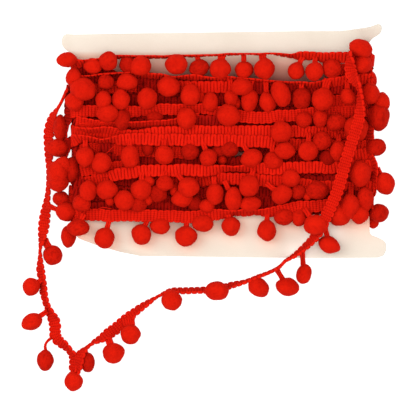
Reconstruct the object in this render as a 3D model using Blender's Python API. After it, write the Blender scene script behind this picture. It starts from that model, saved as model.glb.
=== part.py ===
"""Pompom fringe wound flat round the waist of a card, with one slack turn lying beside it.

The part lies on its back: X to the right along the winding, Y up the card, Z up from the surface.
Places in the tables are in layout steps of 2/3 mm, x to the right and y down the card, and
heights are in millimetres above the surface. A course is one pass of the braid across the front.
"""

import math
import random
from collections import namedtuple

import bmesh
import bpy
from mathutils import Matrix, Vector

MM = 0.001
STEP = 2 / 3 * MM
ORIGIN_X, ORIGIN_Y = 219.6, 141.35  # the layout place of the part's origin

# The trim
BRAID_WIDTH = 8.5 * MM
BRAID_THICKNESS = 1.6 * MM
BRAID_BED = 1.2 * MM  # how far a course is bedded in the packed turns below it
STALK_WIDTH = 1.9 * MM

# The card
CARD_THICKNESS = 1.2 * MM
CARD_MIDDLE = 16.0 * MM  # height of the card's middle plane
GAP = 0.35 * MM  # between pieces that touch
WAIST_LEFT, WAIST_RIGHT = 78.0, 369.5

# The packed turns: a rounded flat sleeve round the card, given at stations down the card
SLEEVE_CORNER = 4.2  # the power of the rounded section, 2 for an ellipse
SLEEVE_POINTS = 20
Station = namedtuple("Station", "y left right front back")
SLEEVE = (
    Station(60.0, 74.0, 373.0, 5.4, 7.0),
    Station(67.0, 71.5, 376.5, 7.2, 10.0),
    Station(100.0, 69.5, 378.5, 8.1, 12.2),
    Station(140.0, 69.0, 377.0, 8.6, 12.4),
    Station(180.0, 68.0, 378.5, 8.3, 12.2),
    Station(213.0, 72.0, 375.5, 7.2, 10.0),
    Station(222.5, 74.5, 373.0, 5.4, 7.0),
)

# Each course of braid over the packed turns: its middle line across the front
Course = namedtuple("Course", "name proud line")  # proud in mm
COURSES = (
    Course("first", 1.2, ((76, 64), (120, 60), (200, 58.5), (260, 58), (320, 58.5), (373, 62))),
    Course("second", 1.5, ((73, 85), (130, 80), (180, 84), (240, 87), (300, 90), (376, 86))),
    Course("third", 1.2, ((72, 110), (130, 110), (180, 109), (230, 114), (290, 117), (378, 111))),
    Course("fourth", 0.8, ((72, 125), (130, 126), (190, 129), (250, 131), (320, 131), (376, 134))),
    Course("fifth", 1.7, ((70, 136), (130, 137), (200, 139.5), (270, 141), (330, 142), (376, 145.5))),
    Course("sixth", 1.6, ((70, 177), (115, 175), (150, 171), (210, 170), (270, 167), (377, 165))),
    Course("seventh", 1.0, ((70, 192), (150, 186), (215, 178), (270, 180), (318, 182), (377, 190))),
    Course("eighth", 1.4, ((74, 213), (130, 215.5), (190, 215), (250, 212), (300, 206), (374, 203))),
)
END_TURN = (0.24, -0.24)  # angles of the steps round an end, in radians
BACK_STEPS = 3

# The pompoms, by the course that they hang from: place, radius and how high they lie in the pile
# The height of a pompom's centre over the packed turns, or over the bare card beside them, in mm
TOP, MIDDLE, DEEP, OVER_CARD = 3.0, 0.6, -1.2, 7.4
Ball = namedtuple("Ball", "around down swell")  # a faceted ball is swollen to keep its bulk
FINE_BALL, PLAIN_BALL = Ball(7, 5, 1.04), Ball(5, 4, 1.07)
Pompom = namedtuple("Pompom", "x y radius layer")
FRONT_POMPOMS = {
    "first": (
        (67, 60, 8.5, OVER_CARD), (108.5, 61, 9.5, TOP),
        (128, 64, 8.5, MIDDLE), (141.5, 66, 10, TOP), (176.5, 64.5, 11, TOP),
        (199, 68, 9.5, MIDDLE), (220.5, 68.5, 10.5, TOP), (244, 70, 9, MIDDLE),
        (264.5, 69, 10.5, TOP), (296, 71, 8.5, MIDDLE), (314.5, 71.5, 9.5, MIDDLE),
        (332, 69, 10, MIDDLE), (360, 48, 10.5, TOP), (364, 66, 8.5, MIDDLE),
    ),
    "second": (
        (74, 78, 8.5, MIDDLE), (83.5, 89, 12, TOP),
        (127.5, 81.5, 9.5, TOP), (168.5, 86, 11, TOP), (190.5, 95.5, 10.5, TOP),
        (242, 86, 9.5, TOP), (281, 94, 11.5, TOP), (301.5, 99, 10.5, MIDDLE),
        (323, 99, 12, TOP), (372, 94, 10, MIDDLE),
        (380, 112, 11.5, DEEP),
    ),
    "third": (
        (74.5, 101.5, 9.5, MIDDLE), (102, 100, 8, TOP), (107.5, 113.5, 10, TOP),
        (121, 99.5, 10, TOP), (147.5, 98.5, 10.5, TOP), (209.5, 101.5, 8, MIDDLE),
        (228.5, 115, 12, TOP), (249.5, 101, 10, MIDDLE),
        (186.5, 119, 11, TOP),
        (304, 119, 8, MIDDLE), (320, 118, 8, MIDDLE), (335, 122, 9, MIDDLE),
        (281, 132, 10.5, TOP), (353, 131, 11, MIDDLE),
    ),
    "fifth": (
        (60, 128, 9, DEEP), (59, 147, 9.5, DEEP), (57, 172, 11.5, MIDDLE),
        (70, 168, 10.5, MIDDLE), (84, 157, 9.5, TOP), (101.5, 163, 10, TOP),
        (130, 157, 10.5, TOP), (163.5, 154.5, 9.5, TOP), (190, 151.5, 8.5, MIDDLE),
        (208.5, 157, 8.5, TOP), (251.5, 158, 10.5, TOP),
        (285, 150, 9, TOP), (273, 161, 9.5, MIDDLE), (308, 151, 10, TOP),
        (322, 141, 9.5, MIDDLE), (338.5, 150, 9, MIDDLE), (377, 147, 9, DEEP),
        (361, 173, 12, MIDDLE), (383, 183, 10.5, DEEP),
    ),
    "sixth": (
        (87.5, 190.5, 9.5, TOP), (82, 203, 8.5, MIDDLE), (107, 189, 10, TOP),
        (123.5, 200, 10, TOP), (141, 190, 10.5, TOP),
        (165, 183, 8, TOP), (188.5, 187, 10.5, TOP),
        (182, 198, 10, TOP), (215, 194, 10, TOP),
        (233, 199, 10, TOP), (249, 186, 11, TOP), (250, 204, 9.5, TOP),
        (290.5, 178.5, 9, TOP), (282, 194, 10, TOP), (318, 190, 10, MIDDLE),
        (350, 206, 11, TOP), (365, 197, 9, MIDDLE), (338, 217, 9, MIDDLE),
        (360, 215, 9, MIDDLE), (377, 213, 9.5, DEEP),
    ),
}
# The last row hangs clear of the packed turns, over the card: where each stalk leaves the braid
Hanging = namedtuple("Hanging", "x y radius root_x root_y height")
BOTTOM_POMPOMS = (
    Hanging(61, 201, 7.5, 72, 194, 17.0),
    Hanging(65.5, 211, 9.5, 77, 204, 21.0),
    Hanging(77, 227, 9.5, 84, 214, 24.0),
    Hanging(66.5, 238.5, 9.0, 76, 214, 15.0),
    Hanging(104.5, 238, 10.5, 108, 217, 24.6),
    Hanging(141.5, 234, 10.5, 146, 217, 24.6),
    Hanging(160, 227, 8.5, 160, 216, 24.0),
    Hanging(186, 236, 10.5, 186, 216, 24.6),
    Hanging(203, 223, 9.0, 203, 216, 26.0),
    Hanging(231, 226, 9.5, 231, 214, 24.4),
    Hanging(267, 230.5, 10.5, 267, 213, 24.6),
    Hanging(284, 217, 9.0, 284, 210, 26.0),
    Hanging(298, 217.5, 7.5, 298, 209, 26.0),
)
# The back carries the same trim: rows of pompoms that the part lies on
BACK_ROWS = (80.0, 112.0, 144.0, 176.0, 209.0)
BACK_PITCH, BACK_FIRST, BACK_LAST = 39.0, 92.0, 362.0
BACK_HEIGHT = 5.3  # mm: a pompom is pressed flat where its radius is more than this
BACK_RADIUS = 9.6
BACK_SHIFT = (0.0, 21.0, 8.0, 29.0, 12.0)  # how far each row starts along

# The slack turn's route, from the top of the winding over its right side and round to its left
Route = namedtuple("Route", "x y bottom lean")  # bottom in mm, lean 0 flat and 90 on edge
SLACK = (
    Route(350.0, 57.0, 29.0, 30), Route(350.5, 66.0, 29.4, 12), Route(352.0, 75.0, 29.8, 22),
    Route(355.5, 84.0, 30.2, 50), Route(359.0, 94.0, 30.4, 68), Route(360.3, 104.0, 30.6, 68),
    Route(360.0, 114.0, 31.0, 60), Route(358.0, 125.0, 33.0, 40), Route(354.5, 137.0, 34.2, 22),
    Route(350.0, 150.0, 34.2, 8), Route(345.5, 164.0, 33.8, 4), Route(341.0, 178.0, 33.6, 4),
    Route(336.0, 192.0, 33.4, 4), Route(331.0, 205.0, 32.6, 4), Route(325.5, 217.0, 30.6, 8),
    Route(319.5, 229.0, 27.0, 14), Route(312.0, 240.0, 23.0, 24), Route(303.5, 249.0, 19.6, 46),
    Route(294.5, 255.5, 18.4, 64), Route(286.0, 261.0, 16.8, 68), Route(278.5, 266.0, 12.2, 72),
    Route(270.0, 271.0, 6.8, 76), Route(258.5, 276.5, 2.6, 76), Route(245.0, 281.5, 0.5, 74),
    Route(232.0, 286.0, 0.0, 64), Route(217.0, 289.5, 0.0, 56), Route(200.0, 291.0, 0.0, 52),
    Route(184.0, 290.5, 0.0, 58), Route(170.5, 291.5, 0.0, 68), Route(158.5, 297.0, 0.0, 76),
    Route(148.5, 303.5, 0.0, 70), Route(138.5, 310.5, 0.0, 46), Route(126.0, 319.5, 0.0, 16),
    Route(113.5, 329.5, 0.0, 14), Route(103.0, 338.0, 0.0, 36), Route(92.5, 344.0, 0.0, 66),
    Route(84.0, 350.5, 0.0, 82), Route(79.3, 359.5, 0.0, 88), Route(77.2, 368.0, 0.0, 90),
    Route(74.5, 371.4, 0.0, 90), Route(71.8, 368.0, 0.0, 90), Route(70.3, 359.5, 0.0, 84),
    Route(65.0, 350.5, 0.0, 60), Route(59.0, 342.5, 0.0, 30), Route(55.5, 333.0, 0.0, 12),
    Route(53.5, 322.0, 0.0, 18), Route(49.5, 311.0, 0.0, 48), Route(46.0, 300.0, 0.0, 60),
    Route(43.4, 286.0, 0.0, 60), Route(41.0, 272.0, 0.0, 56), Route(39.8, 257.0, 0.0, 70),
    Route(41.5, 243.0, 0.0, 58), Route(43.6, 231.0, 0.0, 32), Route(44.6, 219.0, 0.0, 26),
    Route(46.2, 207.0, 0.0, 48), Route(47.6, 195.0, 0.0, 64), Route(48.2, 181.0, 0.0, 70),
    Route(48.0, 167.0, 0.0, 68), Route(47.8, 153.0, 0.2, 52), Route(48.4, 141.0, 0.8, 36),
    Route(49.6, 129.0, 2.4, 40), Route(52.5, 118.0, 5.2, 58), Route(56.5, 108.5, 8.0, 74),
    Route(61.0, 99.5, 10.6, 82), Route(65.3, 92.0, 12.2, 84), Route(68.0, 87.5, 12.6, 84),
)
SlackPompom = namedtuple("SlackPompom", "x y radius root bottom")  # root is a row of SLACK
SLACK_POMPOMS = (
    SlackPompom(316.5, 226.0, 10.2, 15, 22.4),
    SlackPompom(329.0, 245.0, 10.3, 15, 17.4),
    SlackPompom(304.5, 273.5, 8.8, 18, 3.0),
    SlackPompom(288.0, 287.0, 10.8, 21, 0.0),
    SlackPompom(259.0, 289.0, 10.8, 22, 0.0),
    SlackPompom(218.0, 292.0, 11.2, 25, 5.6),
    SlackPompom(172.0, 301.0, 10.5, 28, 0.0),
    SlackPompom(130.5, 334.0, 10.2, 32, 0.0),
    SlackPompom(113.5, 353.0, 10.8, 34, 0.0),
    SlackPompom(86.5, 364.5, 9.6, 36, 0.0),
    SlackPompom(73.5, 382.5, 9.6, 39, 0.0),
    SlackPompom(44.0, 360.5, 9.8, 43, 0.0),
    SlackPompom(31.5, 322.0, 9.5, 46, 0.0),
    SlackPompom(31.5, 287.0, 9.1, 49, 0.0),
    SlackPompom(53.5, 255.5, 9.5, 51, 0.0),
)

# The card's outline, clockwise from its top left ear, and where it is bent
CARD_OUTLINE = (
    (66.5, 34.0), (75.0, 34.5), (120.0, 33.6), (180.0, 32.8), (240.0, 32.0), (310.0, 31.0),
    (340.0, 31.0), (352.0, 29.5), (362.0, 28.4), (370.0, 27.0), (376.5, 24.7), (379.8, 25.2),
    (381.2, 28.0), (380.6, 32.2), (378.0, 35.2), (373.0, 38.2), (369.5, 42.0), (367.8, 48.0),
    (368.4, 54.0), (WAIST_RIGHT, 60.0), (WAIST_RIGHT, 227.0), (369.8, 232.0), (371.5, 235.0),
    (375.0, 236.5), (380.0, 238.6), (384.0, 241.0), (386.0, 245.0), (385.6, 251.0),
    (382.6, 255.8), (377.5, 257.6), (340.0, 258.0), (300.0, 258.0), (220.0, 257.0),
    (170.0, 256.2), (140.0, 255.4), (120.0, 251.3), (100.0, 245.6), (84.0, 240.0),
    (77.5, 236.6), (76.4, 231.0), (WAIST_LEFT, 224.0), (WAIST_LEFT, 60.5), (77.3, 58.2),
    (75.2, 55.6), (70.0, 52.6), (65.6, 49.6), (62.6, 45.6), (61.8, 41.0), (63.0, 36.8),
)
Bend = namedtuple("Bend", "x y away_x away_y angle reach")  # a fold line's point, its far side
BENDS = (
    Bend(351.5, 33.0, 0.80, -0.60, 34.0, 9.0),
    Bend(100.0, 236.0, -0.27, 0.96, -58.0, 16.0),
    Bend(80.0, 44.0, -1.0, -0.12, 7.0, 14.0),
    Bend(366.0, 246.0, 0.95, 0.30, 9.0, 12.0),
)
BEND_LINES = 4  # crease lines across each bend

CARD_COLOUR = (0.93, 0.86, 0.75, 1.0)
YARN_COLOUR = (0.56, 0.010, 0.006, 1.0)


def place(x, y, height):
    """The point at a layout place, at a height in metres."""
    return Vector(((x - ORIGIN_X) * STEP, (ORIGIN_Y - y) * STEP, height))


def between(x, pairs):
    """The value at x on the line through the pairs, level past its ends."""
    if x <= pairs[0][0]:
        return pairs[0][1]
    for (x0, y0), (x1, y1) in zip(pairs, pairs[1:]):
        if x <= x1:
            return y0 + (y1 - y0) * (x - x0) / (x1 - x0)
    return pairs[-1][1]


def material(name, colour, roughness):
    made = bpy.data.materials.new(name)
    made.use_nodes = True
    shader = made.node_tree.nodes["Principled BSDF"]
    shader.inputs["Base Color"].default_value = colour
    shader.inputs["Roughness"].default_value = roughness
    return made


def add_object(name, bm, made_of=None):
    """A new object from a bmesh, with its faces pointing out."""
    bmesh.ops.recalc_face_normals(bm, faces=bm.faces)
    mesh = bpy.data.meshes.new(name)
    bm.to_mesh(mesh)
    bm.free()
    obj = bpy.data.objects.new(name, mesh)
    bpy.context.scene.collection.objects.link(obj)
    if made_of:
        mesh.materials.append(made_of)
    return obj


def make_guide(obj, collection=None):
    """Keep an object as a cutter or as a piece of a union only."""
    obj.hide_render = True
    obj.display_type = "WIRE"
    if collection:
        bpy.context.scene.collection.objects.unlink(obj)
        collection.objects.link(obj)


def boolean(obj, operation, other):
    modifier = obj.modifiers.new(operation.title(), "BOOLEAN")
    modifier.operation = operation
    modifier.solver = "EXACT"
    if isinstance(other, bpy.types.Collection):
        modifier.operand_type = "COLLECTION"
        modifier.collection = other
    else:
        modifier.object = other


def box(name, low, high):
    bm = bmesh.new()
    size, middle = high - low, (high + low) / 2
    bmesh.ops.create_cube(bm, size=1.0, matrix=Matrix.LocRotScale(middle, None, size))
    return add_object(name, bm)


def loft(name, rings, closed):
    """A solid through rings of equal length: a closed tube, or one with flat ends."""
    bm = bmesh.new()
    rows = [[bm.verts.new(point) for point in ring] for ring in rings]
    pairs = list(zip(rows, rows[1:]))
    if closed:
        pairs.append((rows[-1], rows[0]))
    for near, far in pairs:
        for i, point in enumerate(near):
            previous = i - 1
            bm.faces.new((near[previous], point, far[i], far[previous]))
    if not closed:
        bm.faces.new(rows[0])
        bm.faces.new(list(reversed(rows[-1])))
    return add_object(name, bm)


def ribbon(name, rings):
    """A flat strip through rings of four, its two wide faces split along the same diagonals."""
    bm = bmesh.new()
    rows = [[bm.verts.new(point) for point in ring] for ring in rings]
    for near, far in zip(rows, rows[1:]):
        for i in range(4):
            a, b, c, d = near[i - 1], near[i], far[i], far[i - 1]
            halves = ((a, b, c), (a, c, d)) if i < 2 else ((a, b, d), (b, c, d))
            for half in halves:
                bm.faces.new(half)
    bm.faces.new(rows[0])
    bm.faces.new(list(reversed(rows[-1])))
    return add_object(name, bm)


def section(y, angle, proud=0.0):
    """The sleeve's surface at a layout y, angle round its section from +X, stood proud."""
    left = between(y, [(s.y, s.left) for s in SLEEVE])
    right = between(y, [(s.y, s.right) for s in SLEEVE])
    thick = [(s.y, s.front if math.sin(angle) >= 0 else s.back) for s in SLEEVE]
    half_wide = (right - left) / 2 + proud / STEP
    half_deep = between(y, thick) * MM + CARD_THICKNESS / 2 + proud
    power = 2 / SLEEVE_CORNER
    across = math.copysign(abs(math.cos(angle)) ** power, math.cos(angle))
    up = math.copysign(abs(math.sin(angle)) ** power, math.sin(angle))
    return (left + right) / 2 + half_wide * across, CARD_MIDDLE + half_deep * up


def front_height(x, y):
    """The height in metres of the packed turns' front at a layout place."""
    left = between(y, [(s.y, s.left) for s in SLEEVE])
    right = between(y, [(s.y, s.right) for s in SLEEVE])
    across = min(1.0, abs(x - (left + right) / 2) / ((right - left) / 2))
    deep = between(y, [(s.y, s.front) for s in SLEEVE]) * MM + CARD_THICKNESS / 2
    return CARD_MIDDLE + deep * (1 - across**SLEEVE_CORNER) ** (1 / SLEEVE_CORNER)


def packed_turns(name):
    rings = []
    for station in SLEEVE:
        ring = []
        for i in range(SLEEVE_POINTS):
            x, height = section(station.y, 2 * math.pi * (i + 0.5) / SLEEVE_POINTS)
            ring.append(place(x, station.y, height))
        rings.append(ring)
    return loft(name, rings, closed=False)


def angle_at(x, y, front):
    """The angle round the sleeve's section where its front or back is at a layout x."""
    left = between(y, [(s.y, s.left) for s in SLEEVE])
    right = between(y, [(s.y, s.right) for s in SLEEVE])
    across = (x - (left + right) / 2) / ((right - left) / 2)
    across = max(-0.985, min(0.985, across))
    cosine = math.copysign(abs(across) ** (SLEEVE_CORNER / 2), across)
    return math.acos(cosine) if front else -math.acos(cosine)


def course_of_braid(course):
    """One turn of braid round the packed turns: across the front, then round the back."""
    first, last = course.line[0], course.line[-1]
    steps = [(angle_at(x, y, True), y) for x, y in course.line]
    steps += [(turn, last[1]) for turn in END_TURN]
    for i in range(BACK_STEPS):
        share = i / (BACK_STEPS - 1)
        x = last[0] + (first[0] - last[0]) * share
        y = last[1] + (first[1] - last[1]) * share
        steps.append((angle_at(x, y, False), y))
    steps += [(math.pi + turn, first[1]) for turn in END_TURN]
    rings = []
    for angle, y in steps:
        ring = []
        proud = course.proud * MM
        for side, depth in ((-1, -BRAID_BED), (1, -BRAID_BED), (1, proud), (-1, proud)):
            edge_y = y + side * BRAID_WIDTH / 2 / STEP
            x, height = section(y, angle, depth)
            ring.append(place(x, edge_y, height))
        rings.append(ring)
    return loft("course_" + course.name, rings, closed=True)


def ball(name, centre, radius, fine, rng=None):
    """A faceted pompom, turned at random unless it stands on the surface."""
    bm = bmesh.new()
    around, down, swell = FINE_BALL if fine else PLAIN_BALL
    bmesh.ops.create_uvsphere(bm, u_segments=around, v_segments=down, radius=radius * swell)
    if rng:
        spin = Matrix.Rotation(rng.uniform(0, math.tau), 4, "Z")
        tip = Matrix.Rotation(rng.uniform(0, math.pi), 4, "X")
        bmesh.ops.transform(bm, matrix=spin @ tip, verts=bm.verts)
    bmesh.ops.translate(bm, vec=centre, verts=bm.verts)
    return add_object(name, bm)


def stalk(name, start, end):
    """A four-sided stalk from a pompom's middle to its root in the braid."""
    bm = bmesh.new()
    bmesh.ops.create_cone(
        bm, cap_ends=True, segments=4, radius1=STALK_WIDTH / 2, radius2=STALK_WIDTH / 2,
        depth=(end - start).length,
    )
    turn = (end - start).to_track_quat("Z", "Y").to_matrix().to_4x4()
    bmesh.ops.transform(bm, matrix=Matrix.Translation((start + end) / 2) @ turn, verts=bm.verts)
    return add_object(name, bm)


def front_pompoms():
    rng = random.Random(5)
    made = []
    for course, rows in FRONT_POMPOMS.items():
        for i, row in enumerate(rows):
            pompom = Pompom(*row)
            y = min(max(pompom.y, SLEEVE[1].y), SLEEVE[-2].y)
            height = front_height(pompom.x, y) + pompom.layer * MM
            centre = place(pompom.x, pompom.y, height)
            fine = pompom.layer == TOP
            made.append(ball(f"{course}_{i}", centre, pompom.radius * STEP, fine, rng))
            if front_height(pompom.x, y) < CARD_MIDDLE + 2 * MM or pompom.y < SLEEVE[0].y:
                root_y = max(y, SLEEVE[1].y)
                root_x = min(max(pompom.x, SLEEVE[3].left + 8), SLEEVE[3].right - 8)
                root = place(root_x, root_y, front_height(root_x, root_y) - 2 * MM)
                made.append(stalk(f"{course}_{i}_stalk", centre, root))
    return made


def bottom_pompoms():
    rng = random.Random(6)
    made = []
    for i, row in enumerate(BOTTOM_POMPOMS):
        centre = place(row.x, row.y, row.height * MM)
        root = place(row.root_x, row.root_y, front_height(row.root_x, row.root_y) - 1 * MM)
        made.append(ball(f"bottom_{i}", centre, row.radius * STEP, True, rng))
        made.append(stalk(f"bottom_{i}_stalk", centre, root))
    return made


def back_pompoms():
    rng = random.Random(7)
    made = []
    for row, (y, shift) in enumerate(zip(BACK_ROWS, BACK_SHIFT)):
        x = BACK_FIRST + shift
        while x < BACK_LAST:
            centre = place(x, y + rng.uniform(-2, 2), BACK_HEIGHT * MM)
            made.append(ball(f"back_{row}_{len(made)}", centre, BACK_RADIUS * STEP, False, rng))
            x += BACK_PITCH + rng.uniform(-3, 3)
    return made


def wound_trim(yarn):
    """The winding as one solid: packed turns, courses and pompoms, with the card's slot."""
    obj = packed_turns("wound_trim")
    obj.data.materials.append(yarn)
    pieces = bpy.data.collections.new("wound_pieces")
    bpy.context.scene.collection.children.link(pieces)
    parts = [course_of_braid(course) for course in COURSES]
    parts += front_pompoms() + bottom_pompoms() + back_pompoms()
    for part in parts:
        make_guide(part, pieces)
    boolean(obj, "UNION", pieces)
    half_slot = CARD_THICKNESS / 2 + GAP
    low = place(WAIST_LEFT - GAP / STEP, 250, CARD_MIDDLE - half_slot)
    high = place(WAIST_RIGHT + GAP / STEP, 30, CARD_MIDDLE + half_slot)
    slot = box("slot", low, high)
    make_guide(slot)
    boolean(obj, "DIFFERENCE", slot)
    floor = box("floor", place(0, 420, -30 * MM), place(440, 0, 0))
    make_guide(floor)
    boolean(obj, "DIFFERENCE", floor)
    return obj


def slack_frame(i):
    """The middle, sideways half width and upward half thickness of the slack turn at a row."""
    row = SLACK[i]
    before, after = SLACK[max(i - 1, 0)], SLACK[min(i + 1, len(SLACK) - 1)]
    along = place(after.x, after.y, 0) - place(before.x, before.y, 0)
    side = Vector((-along.y, along.x, 0)).normalized()
    lean = math.radians(row.lean)
    wide = (side * math.cos(lean) + Vector((0, 0, math.sin(lean)))) * BRAID_WIDTH / 2
    thick = (Vector((0, 0, math.cos(lean))) - side * math.sin(lean)) * BRAID_THICKNESS / 2
    middle = place(row.x, row.y, row.bottom * MM + abs(wide.z) + abs(thick.z))
    return middle, wide, thick


def slack_turn(yarn):
    """The slack turn as one solid: its flat braid with the pompoms on their stalks."""
    rings = []
    for i in range(len(SLACK)):
        middle, wide, thick = slack_frame(i)
        rings.append([middle - wide - thick, middle + wide - thick,
                      middle + wide + thick, middle - wide + thick])
    obj = ribbon("slack_turn", rings)
    obj.data.materials.append(yarn)
    pieces = bpy.data.collections.new("slack_pieces")
    bpy.context.scene.collection.children.link(pieces)
    for i, row in enumerate(SLACK_POMPOMS):
        half_high = row.radius * STEP * FINE_BALL.swell
        centre = place(row.x, row.y, row.bottom * MM + half_high)
        root = slack_frame(row.root)[0]
        make_guide(ball(f"slack_{i}", centre, row.radius * STEP, True), pieces)
        make_guide(stalk(f"slack_{i}_stalk", centre, root), pieces)
    boolean(obj, "UNION", pieces)
    return obj


def card_rise(x, y):
    """How far the bends lift the card at a layout place, in metres."""
    rise = 0.0
    for bend in BENDS:
        past = (x - bend.x) * bend.away_x + (y - bend.y) * bend.away_y
        if past > 0:
            slope = math.tan(math.radians(bend.angle))
            curved = past * past / (2 * bend.reach)
            rise += slope * STEP * (curved if past < bend.reach else past - bend.reach / 2)
    return rise


def card(board):
    """The card: its outline, creased along the bends, raised by them and given its thickness."""
    bm = bmesh.new()
    corners = [bm.verts.new(Vector((x, y, 0))) for x, y in CARD_OUTLINE]
    bm.faces.new(corners)
    for bend in BENDS:
        away = Vector((bend.away_x, bend.away_y, 0))
        for i in range(BEND_LINES):
            point = Vector((bend.x, bend.y, 0)) + away * bend.reach * i / (BEND_LINES - 1)
            every = bm.verts[:] + bm.edges[:] + bm.faces[:]
            bmesh.ops.bisect_plane(bm, geom=every, dist=0.05, plane_co=point, plane_no=away)
    bmesh.ops.triangulate(bm, faces=bm.faces)
    top = bm.faces[:]
    lower = bmesh.ops.duplicate(bm, geom=bm.verts[:] + bm.edges[:] + top)
    twin = {}
    for old, new in lower["vert_map"].items():
        twin[old] = new
    rim = [edge for edge in {e for face in top for e in face.edges} if len(edge.link_faces) == 1]
    for edge in rim:
        a, b = edge.verts
        bm.faces.new((a, b, twin[b], twin[a]))
    upper = {vert for face in top for vert in face.verts}
    for vert in bm.verts:
        x, y = vert.co.x, vert.co.y
        half = CARD_THICKNESS / 2 if vert in upper else -CARD_THICKNESS / 2
        vert.co = place(x, y, CARD_MIDDLE + card_rise(x, y) + half)
    bmesh.ops.triangulate(bm, faces=bm.faces)
    return add_object("card", bm, board)


def main():
    for obj in list(bpy.data.objects):
        bpy.data.objects.remove(obj)
    yarn = material("red_yarn", YARN_COLOUR, 0.95)
    board = material("cream_board", CARD_COLOUR, 0.75)
    card(board)
    wound_trim(yarn)
    slack_turn(yarn)


main()
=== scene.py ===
"""The looks of a pompom fringe trim wound on a card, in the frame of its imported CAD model.

X runs to the right along the winding, Y up the card and Z out of its front, in metres. Places in
the tables are in layout steps of 2/3 mm, x to the right and y down the card, and heights in mm
above the surface that the part lies on.
"""

import random
from collections import namedtuple
from math import copysign, cos, exp, hypot, pi, radians, sin, sqrt, tan, tau

import bmesh
import bpy
import numpy as np
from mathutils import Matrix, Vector, noise
from numpy.linalg import norm


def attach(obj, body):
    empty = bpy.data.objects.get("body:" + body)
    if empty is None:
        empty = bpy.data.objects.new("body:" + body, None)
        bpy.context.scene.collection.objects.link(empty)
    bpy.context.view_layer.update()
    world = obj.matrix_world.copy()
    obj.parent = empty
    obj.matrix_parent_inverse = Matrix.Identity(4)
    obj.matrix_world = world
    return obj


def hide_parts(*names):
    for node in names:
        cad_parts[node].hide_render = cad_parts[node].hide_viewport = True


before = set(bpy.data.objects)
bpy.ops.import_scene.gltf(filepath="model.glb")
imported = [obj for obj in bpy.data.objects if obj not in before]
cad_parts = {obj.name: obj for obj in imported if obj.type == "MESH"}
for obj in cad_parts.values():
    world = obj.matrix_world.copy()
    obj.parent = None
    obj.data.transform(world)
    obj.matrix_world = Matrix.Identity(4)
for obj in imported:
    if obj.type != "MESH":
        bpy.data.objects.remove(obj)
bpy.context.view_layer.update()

MM = 0.001
STEP = 2 / 3 * MM
ORIGIN_X, ORIGIN_Y = 219.6, 141.35  # the layout place of the part's origin
FRAME_STEPS = 416  # the picture is this many layout steps wide and high
FLOOR_GAP = 0.05 * MM
SEED = 11

# The braid is one cord laid to and fro. Its legs are the ribs across the braid, and its turns, at
# one edge and then at the other, are the scallops. Fine stitches run along it.
BRAID_WIDTH, BRAID_THICKNESS, RIB = 8.5 * MM, 1.7 * MM, 2.21 * MM
RIB_STATIONS = (0, 0.09, 0.24, 0.5, 0.76, 0.91)  # places along one rib, from groove to groove
FACE = (-1, -0.94, -0.8, -0.45, 0, 0.45, 0.8, 0.94, 1)  # places across the ribbed side
GRID = (-1, -0.94, -0.83, -0.67, -0.5, -0.33, -0.17, 0, 0.17, 0.33, 0.5, 0.67, 0.83, 0.94, 1)
COARSE = (-1.14, -0.8, 0, 0.8, 1.14)
STITCHES = (-0.67, -0.33, 0, 0.33, 0.67)  # the stitch lines' places across the other side
# The last share is the painted shade along a stitch line: how much darker its middle is.
STITCH_REACH, STITCH_DEPTH, STITCH_SHADE = 0.06, 0.3, 0.55  # a stitch line's shares
SKIN = 0.12  # the share of the braid's thickness that its grooves don't cut into
LEG_ROUND, TURN_ROUND, CROWN_ROUND = 1.9, 3, 8  # powers: the higher, the flatter the top
TURN_START, TURN_LENGTH = 0.68, 0.22  # where a leg passes into its turn, as shares across
# A hidden back's third row is its painted shade.
PLAIN_BACK = ((0.6, -0.6), (-0.7, -0.7), (0.7, 0.7))  # a hidden back: across, out and relief

# A kind of braid surface: the places across it, the depth of its grooves and of its stitch lines,
# in shape and in painted shade, how far a scallop stands out as a share of the half width, how
# thick the cord's turns are, how thick the braid is, its rib and the places along one
Side = namedtuple("Side", "profile depth stitch scallop bead thickness rib stations",
                  defaults=(BRAID_THICKNESS, RIB, RIB_STATIONS))
RIBBED = Side(FACE, 1, 0, 0.14, 0.1)
STITCHED = Side(GRID, 0.72, 1, 0.14, 0.1)
LOOSE = Side(GRID, 0.45, 1.1, 0.25, 0.25, 2.2 * MM, 1.92 * MM)  # the slack turn isn't pulled tight
PLAIN = Side(COARSE, 1, 0, 0.14, 0, stations=(0, 0.5))

YARN = 2 * MM  # a stalk is two yarns this thick
YARN_SPACING = 1.5 * MM

CARD_THICKNESS = 1.2 * MM
CARD_MIDDLE = 16


# -------- helpers


def place(x, y, height):
    """The point at a layout place and a height in millimetres."""
    return np.array([(x - ORIGIN_X) * STEP, (ORIGIN_Y - y) * STEP, height * MM])


def placed(rows):
    """Rows of layout x, y, height and lean as rows of x, y and z in metres and lean."""
    return [(*place(x, y, height), lean) for x, y, height, lean in rows]


def linked(name, data):
    obj = bpy.data.objects.new(name, data)
    bpy.context.scene.collection.objects.link(obj)
    return obj


def dress(mesh, made_of, **attributes):
    """The object of a mesh with smooth shading, a material and numbers for its points."""
    mesh.shade_smooth()
    mesh.materials.append(made_of)
    for name, values in attributes.items():
        mesh.attributes.new(name, "FLOAT", "POINT").data.foreach_set("value", values)
    return linked(mesh.name, mesh)


def unit(v):
    return v / np.maximum(norm(v, axis=-1, keepdims=True), 1e-12)


def spline(a, b, c, d, t):
    """The point at a share t of the way from b to c, on a smooth curve through all four."""
    return 0.5 * (2 * b + (c - a) * t + (2 * a - 5 * b + 4 * c - d) * t * t
                  + (3 * b - a - 3 * c + d) * t**3)


Curve = namedtuple("Curve", "fine along length closed")
CURVE_PARTS = 24  # a curve has this many short parts between two of its rows


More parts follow.
